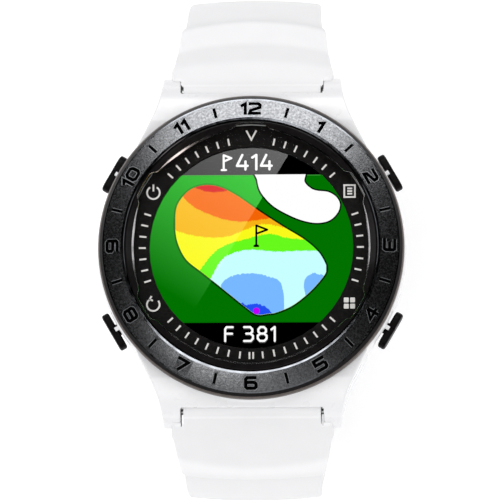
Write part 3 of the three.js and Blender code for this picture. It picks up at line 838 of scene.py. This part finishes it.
class Screen:
    """Stacks flat pieces of the picture, each a little higher than the last."""

    def __init__(self):
        self.z = SCREEN_Z

    def add(self, name, verts, faces, material):
        self.z += LAYER
        piece = add_mesh(name, [(x, y, self.z) for x, y in verts], faces, material)
        return stands_for(piece, "case", "screen")

    def outline(self, name, points, material):
        return self.add(name, points, [tuple(range(len(points)))], material)

    def strip(self, name, xs, low, high, material):
        """What lies between two curves over a run of x, where the upper one is above the lower."""
        rows = [(x, low(x), high(x)) for x in xs]
        rows = [row for row in rows if row[2] - row[1] > 0.005]
        verts = [p for x, a, b in rows for p in ((x, a), (x, b))]
        faces = [(2 * i, 2 * i + 2, 2 * i + 3, 2 * i + 1) for i in range(len(rows) - 1)]
        return self.add(name, verts, faces, material)


def curve_table(points):
    """A smooth curve through points of rising x, as a table for between()."""
    return sorted(smooth_curve(points, 10, closed=False))


def grown(outline, width):
    """A closed outline moved sideways, outwards where it runs anticlockwise and width is above 0."""
    moved_out = []
    for i, (x, y) in enumerate(outline):
        (ax, ay), (bx, by) = outline[i - 2], outline[(i + 2) % len(outline)]
        length = math.hypot(bx - ax, by - ay) or 1.0
        moved_out.append((x + width * (by - ay) / length, y - width * (bx - ax) / length))
    return moved_out


def jitter(x):
    """The small raggedness of a map's edges."""
    return 0.07 * math.sin(9.1 * x) * math.sin(4.3 * x + 1) + 0.075 * math.sin(17 * x)


def chord(y0, y1, radius, steps=48):
    """The part of the round screen between two heights."""
    right = [math.degrees(math.asin(max(-1, min(1, y / radius)))) for y in (y0, y1)]
    return (arc(0, 0, radius, right[0], right[1], steps)
            + arc(0, 0, radius, 180 - right[1], 180 - right[0], steps))


def make_screen():
    screen = Screen()
    screen.outline("screen_black", arc(0, 0, SCREEN_R, 0, 355, 71), glow("lit_black", 0, 0, 0, BLACK_SHEEN))
    screen.outline("screen_grass", chord(FOOTER_Y, HEADER_Y, SCREEN_R),
                   glow("lit_grass", 1, 113, 1, GRASS_SHEEN))
    screen.strip("screen_grass_line", [-10.4, 10.4], lambda x: HEADER_Y - 0.12, lambda x: HEADER_Y,
                 glow("lit_grass_line", 60, 150, 55))
    top, low = curve_table(SLOPE_TOP), curve_table(SLOPE_LOW)
    left, right = SLOPE_TOP[0][0], SLOPE_TOP[-1][0]
    xs = [left + (right - left) * i / 320 for i in range(321)]
    border = [(x, between(low, x)) for x in xs] + [(x, between(top, x)) for x in reversed(xs)]
    screen.outline("slope_edge", grown(border, SLOPE_EDGE), glow("lit_edge", 2, 45, 4, GRASS_SHEEN))
    red_floor = curve_table(BANDS[0][2])
    screen.strip("slope_red", [x for x in xs if x < 0], lambda x: between(red_floor, x) - 0.5,
                 lambda x: between(top, x), glow("lit_red", 205, 18, 22))
    for name, color, edge in BANDS:
        table = curve_table(edge)

        def under(x, table=table):
            return min(between(top, x), between(table, x) + jitter(x))
        screen.strip(f"slope_{name}", xs, lambda x: between(low, x), under, glow(f"lit_{name}", *color))

    def pool(name, shape, color):
        """A closed patch, clipped to the slope."""
        clipped = []
        for x, y in smooth_curve(shape, 12):
            ragged = min(max(y + jitter(x + y), between(low, x)), between(top, x))
            clipped.append((min(max(x, left), right), ragged))
        screen.outline(name, clipped, glow(f"lit_{name}", *color))

    pool("pool_blue", BLUE_POOL, (120, 184, 255))
    pool("pool_side", BLUE_SIDE, (120, 184, 255))
    pool("pool_deep", DEEP_POOL, (34, 80, 240))
    screen.outline("ball_dot", arc(0.75, -9.6, 0.5, 0, 350, 35), glow("lit_magenta", 190, 0, 250))

    def clip_top(shape):
        return [(x, min(y, HEADER_Y)) for x, y in shape]
    sand = smooth_curve(SAND, 10)
    screen.outline("sand_edge", clip_top(grown(sand, SAND_EDGE)), glow("lit_sand_edge", 0, 14, 2))
    screen.outline("sand", clip_top(sand), glow("lit_sand", 255, 255, 255))
    return screen


def make_screen_marks(screen):
    """The pin on the map, and the header's and footer's figures."""
    black, white = glow("lit_ink", 0, 0, 0), glow("lit_white", 255, 255, 255)

    def write(name, x, y, lines, width, material):
        screen.z += LAYER
        placed_lines = [[(x + px, y + py) for px, py in line] for line in lines]
        piece = stroke_mesh(name, placed_lines, width, screen.z, screen.z + INK, material)
        stands_for(piece, "case", "screen")

    pin = [[(0, -1.3), (0, 1.75), (1.65, 1.1), (0.15, 0.55)],
           [(-0.3, -1.38), (0, -1.2), (0.3, -1.38), (-0.3, -1.38)]]
    flag = [[(0, -1.0), (0, 1.15), (1.15, 0.7), (0.1, 0.25)], [(-0.3, -1.1), (0.35, -1.1)]]
    write("map_pin", 0.75, 1.6, pin, 0.3, black)
    write("header_flag", -4.15, 12.9, flag, 0.31, white)
    write("header_figures", 0.45, 12.97, spell("414", 1.6, 2.2, 0.7, SCREEN_FIGURES), 0.36, white)
    write("footer_figures", -0.2, -13.12, spell("F 381", 1.33, 2.1, 0.72, SCREEN_FIGURES), 0.31, white)


make_screen_marks(make_screen())

# ---- strap ----

START_HEADING = -24.0
# Each half's middle line from its spring bar, as pairs of a length and how many degrees it bends over it.
UPPER_PATH = ((9, -8), (16.5, -56), (12.5, -12), (15.5, -40), (20.5, 0))
LOWER_PATH = ((8.3, -18), (10.2, -57), (46, -7), (26, -74), (32, 0))
PIVOT_Y, PIVOT_Z = 24.1, 5.0
BARREL_R = 2.55
BLOCK_HALF = 10.32  # half the width of the barrel round the spring bar
LUG_GAP = 10.77  # half the width between two lugs
STEPS = {1: 12.0, -1: 9.9}  # where each half steps down at its sides, at 12 and 6 o'clock
STEP_BULGE = {1: 1.2, -1: 0.25}  # how much further out it steps in the middle
CREASE, CREASE_BULGE = {1: 6.6, -1: 6.7}, 1.2
INNER = ((0, 2.55), (4, 2.3), (10, 1.7), (20, 1.4), (34, 1.3))  # the inner face's depth by distance
RAISED, CREASED, STEPPED = 2.5, 2.42, 2.1  # the outer face's height by the case, at the crease, at the step
LOW = ((8, 1.5), (14, 1.5), (18.5, 1.56), (24, 1.66), (30, 1.5), (34, 1.3))  # and past the step
CROWN = 0.6  # how much lower the sides are than the middle
BAND_HALF, BAND_THICK = 9.6, 1.3
OUTER_COLUMNS = 28
EDGE_SHADE = {1: 1.7, -1: 0.8}  # how much more painted shade it has just before the step
STEP_SHADE = {1: 0.5, -1: 0.1}  # and the painted shadow at the foot of it
# the even painted shade on the spring bar's barrel
BARREL_SHADE = 0.9
SLIT_END = {1: 0.5, -1: 1.7}  # how far past the spring bar the slits beside the lugs stay open
WING_END = 2.72  # where the strap widens, past the lugs
WING_LEDGE = 1.7  # the height over the spring bar under which the wings follow the lugs' round ends
EYE_R = 2.54
BORE_R = 1.15


def along(path, distance):
    """The point and heading at a distance along a strap's middle line."""
    y, z, heading, left = 0.0, 0.0, math.radians(START_HEADING), distance
    for length, bend in path:
        step = min(left, length)
        angle = math.radians(bend * step / length)
        reach = step if angle == 0 else 2 * math.sin(angle / 2) * step / angle
        y += reach * math.cos(heading + angle / 2)
        z += reach * math.sin(heading + angle / 2)
        heading += angle
        left -= step
        if left <= 0:
            break
    return y, z, heading


def strap_matrix(path, distance, side):
    """The frame of a place on a strap: +Y along it and +Z out of it. side is 1 at 12 o'clock, -1 at 6."""
    y, z, heading = along(path, distance)
    return facing(side) @ shift(0, PIVOT_Y + y, PIVOT_Z + z) @ Matrix.Rotation(heading, 4, "X")


def total(path):
    return sum(length for length, bend in path)


def end_frame(path, side, back=0):
    """The frame of a half's end, or of a place some way back from it."""
    return strap_matrix(path, total(path) - back, side)


def half_width(distance, side):
    step = STEPS[side]
    return between(((2.7, 12.15), (2.95, 12.3), (4, 11.9), (7, 11.4), (step - 0.5, 10.95),
                    (step - 0.1, 10.75), (step + 0.1, 10.45), (15, 10.2), (18, 10.1), (34, BAND_HALF)),
                   distance)


def crease_and_step(share, side):
    """Their distances, where share runs from -1 to 1 across the strap."""
    middle = 1 - share * share
    return CREASE[side] + CREASE_BULGE * middle, STEPS[side] + STEP_BULGE[side] * middle


def outer_face(distance, share, side):
    """The outer face's height."""
    crease, step = crease_and_step(share, side)
    raised = between(((0, 2.55), (2, RAISED), (crease - 0.5, CREASED + 0.06), (crease + 0.5, CREASED - 0.06),
                      (step - 0.3, STEPPED), (step - 0.05, STEPPED - 0.14), (step, STEPPED - 0.3)), distance)
    lower = between(LOW, distance)
    up = raised if distance < step else lower + (raised - lower) * (1 - ease(distance, step, step + 0.12))
    return up - CROWN * share * share * ease(distance, 1.0, 7.0)


def across():
    """The shares at which the outer face has its points, closer together towards the sides."""
    return [math.sin(math.pi / 2 * (1 - 2 * column / OUTER_COLUMNS)) for column in range(OUTER_COLUMNS + 1)]


def band_outline(distance, side):
    """The strap's section as (x, up) points: a crowned outer face, rounded edges and a flatter inner face."""
    half = half_width(distance, side)
    inner = between(INNER, distance)
    round_off = 0.8 if distance < STEPS[side] else 0.5
    outline = []
    for share in across():
        over = max(0.0, abs(half * share) - (half - round_off))
        fall = 0.9 * (round_off - math.sqrt(max(0.0, round_off * round_off - over * over)))
        outline.append((half * share, outer_face(distance, share, side) - fall))
    corner, chamfer = 0.45, 0.13
    outline += [(-half, -inner + corner), (-half + chamfer, -inner + chamfer), (-half + corner, -inner)]
    outline += [(half * (-0.9 + 1.8 * i / 10), -inner) for i in range(11)]
    outline += [(half - corner, -inner), (half - chamfer, -inner + chamfer), (half, -inner + corner)]
    return outline


def ring_at(path, distance, side, outline):
    matrix = strap_matrix(path, distance, side)
    return [(matrix @ (Vector((x, 0, up)) * MM)) / MM for x, up in outline]


def stations(path, side):
    """Distances along the band, close together where it steps."""
    made, end = [0], total(path)
    while made[-1] < end - 0.6:
        near_step = STEPS[side] - 0.7 < made[-1] < STEPS[side] + STEP_BULGE[side] + 0.3
        made.append(made[-1] + (0.06 if near_step else 0.4 if made[-1] < 12 else 0.7))
    made[-1] = end
    return made


def pivot_matrix(side):
    """The frame of a spring bar."""
    return facing(side) @ shift(0, PIVOT_Y, PIVOT_Z)


def matt(distance, share, side):
    """How much painted shade darkens the outer face: less by the case at 12 o'clock and between the crease
    and the step, more just before the step and at its foot.
    """
    crease, step = crease_and_step(share, side)
    near_case = 1.0
    if side > 0:
        start = 4.4 - share * share
        near_case = (0.25 + 0.75 * ease(distance, start - 0.8, start + 0.8)
                     + 0.6 * (1 - ease(distance, 0, 1.6)))
    slope = ease(distance, crease - 0.7, crease + 0.7) * (1 - ease(distance, step - 0.1, step + 0.1))
    foot = STEP_SHADE[side] * (1 - ease(distance, step, step + 2.0)) if distance > step else 0.0
    edge = EDGE_SHADE[side] * ease(distance, step - 1.5, step - 0.3) * (1 - ease(distance, step, step + 0.15))
    return near_case * (1 - slope) + edge + foot


def make_band(name, path, side):
    """The band, which ends in round eyes beside the lugs and in the spring bar's barrel between them."""
    places = stations(path, side)
    rings = [ring_at(path, distance, side, band_outline(distance, side)) for distance in places]
    band = loft(name, rings, WHITE_RUBBER, angle=40)
    # each point of the outer face carries its painted shade, which darkens the rubber's colour
    mask = band.data.attributes.new("matt", "FLOAT", "POINT")
    for row, distance in enumerate(places):
        for column, share in enumerate(across()):
            mask.data[row * len(rings[0]) + column].value = matt(distance, share, side)
    fillet, fit = SLIT_END[side], LUG_GAP - 0.04
    slit = [(BLOCK_HALF, -4), (fit + 0.01, -4), (fit + 0.01, fillet + 0.8), (fit - 0.02, fillet + 0.8),
            (BLOCK_HALF + 0.05, fillet + 0.35), (BLOCK_HALF, fillet)]
    notch = [(fit, -4), (14, -4), (14, WING_END), (fit, WING_END)]
    for flip in (1, -1):
        for outline, low in ((slit, -6), (notch, WING_LEDGE)):
            outline = [(flip * x, y) for x, y in outline][::flip]
            cut(band, moved(prism("beside_lug", outline, low, 6, WHITE_RUBBER), pivot_matrix(side)))
        ends = sorted((flip * fit, flip * 14))
        cut(band, moved(rod_x("eye", EYE_R, *ends, WHITE_RUBBER, steps=96), pivot_matrix(side)))
    barrel = rod_x("barrel", BARREL_R, -BLOCK_HALF, BLOCK_HALF, WHITE_RUBBER, steps=96)
    moved(barrel, pivot_matrix(side))
    # the barrel gets an even painted shade
    for point in barrel.data.attributes.new("matt", "FLOAT", "POINT").data:
        point.value = BARREL_SHADE
    join(band, barrel)
    cut(band, moved(rod_x("bore", BORE_R, -12, 12, WHITE_RUBBER, steps=32), pivot_matrix(side)))
    return band


def keeper_loop(name, length, gap, low, high, wall=1.1):
    """A keeper round the band, in the strap's flat frame, with its length along +Y."""
    middle, half_w, half_h = (low + high) / 2, BAND_HALF + gap, (high - low) / 2
    outer = rounded_rect(half_w + wall, half_h + wall, 1.7, 8)
    inner = rounded_rect(half_w, half_h, 0.7, 8)
    edge = 0.35
    rows = [(-length / 2, -edge), (-length / 2 + edge * 0.3, -edge * 0.3), (-length / 2 + edge, 0),
            (length / 2 - edge, 0), (length / 2 - edge * 0.3, -edge * 0.3), (length / 2, -edge)]

    def scaled(outline, y, grow):
        return [(x * (1 + grow / half_w), y, middle + z * (1 + grow / half_h)) for x, z in outline]
    rings = [scaled(outer, y, grow) for y, grow in rows]
    rings += [scaled(inner, y, -grow * 0.6) for y, grow in reversed(rows)]
    return loft(name, rings, WHITE_RUBBER, closed=True, angle=40)


KEEPER_ROOM = 3.0
FIXED_KEEPER, FREE_KEEPER = 6.0, 12.5
STRAP_END_R, BAR_R = 1.9, 0.8


def make_upper_strap():
    band = make_band("strap_12", UPPER_PATH, 1)
    end = end_frame(UPPER_PATH, 1)
    cut(band, moved(rod_x("bar_room", STRAP_END_R - 0.1, -12, 12, WHITE_RUBBER), end))
    join(band, moved(rod_x("strap_end", STRAP_END_R, -9.4, 9.4, WHITE_RUBBER, steps=64), end))
    cut(band, moved(rod_x("bar_hole", BAR_R + 0.2, -12, 12, WHITE_RUBBER, steps=32), end))
    slot = prism("tongue_slot", rounded_rect(1.7, 4.5, 0.5), -4, 4, WHITE_RUBBER)
    cut(band, moved(slot, end @ shift(0, -1, 0)))
    keeper = keeper_loop("fixed_keeper", 4.2, -0.2, -BAND_THICK + 0.2, BAND_THICK + KEEPER_ROOM)
    join(band, moved(keeper, end_frame(UPPER_PATH, 1, FIXED_KEEPER)))
    shade(band, 38)
    return stands_for(band, "upper_strap", "white_rubber", "upper_strap")


def make_lower_strap():
    band = make_band("strap_6", LOWER_PATH, -1)
    tip = [(-14, -BAND_HALF), (-BAND_HALF, -BAND_HALF)]
    tip += [(BAND_HALF * math.cos(a), -BAND_HALF + (BAND_HALF - 0.05) * math.sin(a))
            for a in [math.pi * (1 - i / 48) for i in range(1, 48)]]
    tip += [(BAND_HALF, -BAND_HALF), (14, -BAND_HALF), (14, 4), (-14, 4)]
    cut(band, moved(prism("tip_trim", tip, -4, 4, WHITE_RUBBER), end_frame(LOWER_PATH, -1)))
    for i in range(8):
        hole = prism("hole", rounded_rect(1.15, 1.6, 0.9, 8), -4, 4, WHITE_RUBBER)
        cut(band, moved(hole, end_frame(LOWER_PATH, -1, 16 + 6 * i)))
    shade(band, 38)
    return stands_for(band, "lower_strap", "white_rubber", "lower_strap")


def make_free_keeper():
    keeper = keeper_loop("sliding_keeper", 4.6, 0.4, -BAND_THICK - 0.4, BAND_THICK + KEEPER_ROOM)
    moved(keeper, end_frame(UPPER_PATH, 1, FREE_KEEPER))
    return stands_for(keeper, "free_keeper", "white_rubber", "free_keeper")


make_upper_strap()
make_lower_strap()
make_free_keeper()

# ---- buckle ----


def make_buckle():
    end = end_frame(UPPER_PATH, 1)
    reach, half, arm = 12.4, 12.2, 2.0
    outline = [(-half, -2), (-half + arm, -2), (-half + arm, reach - 2.4), (half - arm, reach - 2.4),
               (half - arm, -2), (half, -2)]
    outline += arc(half - 2.5, reach - 2.5, 2.5, 0, 90, 12) + arc(-half + 2.5, reach - 2.5, 2.5, 90, 180, 12)
    buckle = prism("buckle_wire", outline, -1.1, 1.1, STEEL)
    bevel(buckle, 0.55, 5)
    cut(buckle, rod_x("bar_holes", BAR_R + 0.15, -11.6, 11.6, STEEL, steps=32))
    side = [(0.9, 0.2), (9.4, 1.15), (12.6, 1.25), (13.1, 1.5), (12.9, 2.1), (9.2, 2.25), (0.9, 1.5)]
    blade = side_prism("buckle_pin_blade", side, -1.1, 1.1, STEEL)
    join(blade, rod_x("eye", 1.5, -1.1, 1.1, STEEL, steps=48))
    cut(blade, rod_x("eye_hole", BAR_R + 0.15, -2, 2, STEEL, steps=32))
    bevel(blade, 0.22, 3, 40)
    for piece, name in ((buckle, "buckle_frame"), (blade, "buckle_tongue")):
        shade(moved(piece, end), 40)
        stands_for(piece, name, "steel", name)


make_buckle()

# ---- case ----

BUTTONS = {"button_2": 30, "button_4": -30, "button_8": 210, "button_10": 150}
BUTTON_Z = 5.6
PAD_FACE, PAD_OUT = 23.4, 24.55
CASE_SECTION = [(0, 1.0), (20.5, 1.0), (22.0, 2.0), (22.95, 3.8), (23.25, 5.6), (23.25, 8.3), (23.1, 9.3),
                (22.7, 9.7), (20.6, 9.7), (20.6, 11.9), (0, 11.9)]
SEAT_LIP = 23.85  # where the case's lip over the strap's round end stops


def turned_solid(name, outline, material, steps=192):
    """A closed solid of revolution whose outline starts and ends on the axis."""
    rim = outline[1:-1]
    verts = [(0, 0, outline[0][1])]
    for radius, z in rim:
        verts += [(x, y, z) for x, y in circle(radius, steps)]
    verts.append((0, 0, outline[-1][1]))
    faces = []
    last = len(verts) - 1
    for i in range(steps):
        nxt = (i + 1) % steps
        faces.append((0, 1 + nxt, 1 + i))
        for row in range(len(rim) - 1):
            low, high = 1 + row * steps, 1 + (row + 1) * steps
            faces.append((low + i, low + nxt, high + nxt, high + i))
        faces.append((last, last - steps + i, last - steps + nxt))
    return add_mesh(name, verts, faces, material)


def lug_solid(side):
    """Both lugs of one side in one block: their plan, cut to their profile seen from the side."""
    flank = smooth_curve([(17.3, 15.6), (15.75, 18.6), (14.45, 21.4), (13.75, 23.8), (13.35, 26.1)], 10,
                         closed=False)
    half = [(17.3, 8.0)] + flank + [(13.3, 26.5), (13.15, 26.68), (12.8, 26.7)]
    plan = half + [(-x, y) for x, y in reversed(half)]
    lugs = prism("lugs", plan, 0, 12, WHITE_CASE)
    nose = arc(PIVOT_Y, PIVOT_Z, 2.5, -95, 58, 24)
    top = smooth_curve([(25.42, 7.12), (24.4, 8.3), (22.6, 9.2), (19.5, 9.7)], 6, closed=False)[1:]
    profile = [(8, 1.0), (19.5, 1.2), (23.5, 2.6)] + nose + top + [(8, 9.7)]
    combine(lugs, side_prism("lug_side", profile, -20, 20, WHITE_CASE), "INTERSECT")
    return moved(lugs, facing(side))


def button_matrix(angle):
    """The frame of a button, whose +X points out of the case."""
    return turn(angle) @ shift(0, 0, BUTTON_Z)


def pad(name, half_length, half_height, x0, x1, material):
    """A button's rounded block, between two distances from the case's centre."""
    return side_prism(name, rounded_rect(half_length, half_height, half_height * 0.8, 10), x0, x1, material)


def make_case():
    case = turned_solid("case_body", CASE_SECTION, WHITE_CASE)
    for side in (1, -1):
        join(case, lug_solid(side))
    cut(case, disc("bore", 17.6, 0, 10.3, WHITE_CASE, steps=128))
    cut(case, disc("seat", 19.35, 10.3, 13, WHITE_CASE, steps=128))
    for side in (1, -1):
        at = pivot_matrix(side)
        cut(case, moved(rod_x("turn_room", BARREL_R + 0.02, -LUG_GAP, LUG_GAP, WHITE_CASE, steps=96), at))
        room = [(-LUG_GAP, SEAT_LIP), (LUG_GAP, SEAT_LIP), (LUG_GAP, 29), (-LUG_GAP, 29)]
        cut(case, moved(prism("room", room, -2, 12, WHITE_CASE), facing(side)))
        cut(case, moved(rod_x("bar_holes", 0.65, -12.6, 12.6, WHITE_CASE, steps=24), at))
    for angle in BUTTONS.values():
        cut(case, moved(pad("pocket", 3.35, 1.85, 22.15, 25.5, WHITE_CASE), button_matrix(angle)))
    soften(case, 0.16, 2, 0.3)
    for side in (1, -1):
        clean = rod_x("turn_room", BARREL_R + 0.05, 0.2 - LUG_GAP, LUG_GAP - 0.2, WHITE_CASE, steps=96)
        cut(case, moved(clean, pivot_matrix(side)))
    shade(case, 50)
    return stands_for(case, "case", "white_case", "mid_case")


def make_buttons():
    for name, angle in BUTTONS.items():
        cap = pad(f"{name}_cap", 3.0, 1.5, PAD_FACE, PAD_OUT, BUTTON_BLACK)
        bevel(cap, 0.3, 4, 40)
        notch = [(-0.5, 1.1), (0.5, 1.1), (0.5, 2.3), (-0.5, 2.3)]
        cut(cap, side_prism("notch", notch, PAD_FACE - 1, PAD_OUT + 1, BUTTON_BLACK))
        join(cap, rod_x("stem", 0.9, 16.75, PAD_FACE + 0.2, BUTTON_BLACK, steps=32))
        moved(cap, button_matrix(angle))
        shade(cap, 40)
        stands_for(cap, name, "button_black", name)
        nib = [(-0.3, 1.28), (0.3, 1.28), (0.3, 2.0), (-0.3, 2.0)]
        nib = moved(side_prism(f"{name}_nib", nib, 22.5, 23.8, WHITE_CASE), button_matrix(angle))
        stands_for(nib, "case", "white_case")


make_case()
make_buttons()

# ---- pieces that keep their CAD shape ----


def dress_cad_nodes():
    for material, name in ((GLASS, "front_glass"), (DIAL_BLACK, "dial_mask"), (PANEL, "lcd_panel"),
                           (FILM, "backlight"), (BOARD, "main_board"), (SHIELD, "shield_can"),
                           (CERAMIC, "gps_antenna"), (FOIL, "battery")):
        dress(material, name)
    dress(BACK_PLASTIC, "display_frame", "case_back")
    dress(SILICONE, "battery_pad", "bezel_gasket", "glass_gasket", "case_back_gasket")
    dress(STEEL, "vibration_motor", "buckle_bar")
    for i in range(1, 5):
        dress(GOLD, f"charge_contact_{i}")
        dress(SCREW, f"case_back_screw_{i}")
    for name in BUTTONS:
        dress(WIRE, f"{name}_clip", f"{name}_spring")
        dress(SILICONE, f"{name}_seal")
        dress(BACK_PLASTIC, f"{name}_switch")
    for end in ("upper", "lower"):
        dress(WIRE, f"{end}_bar_tube", f"{end}_bar_tip_a", f"{end}_bar_tip_b", f"{end}_bar_spring")


dress_cad_nodes()
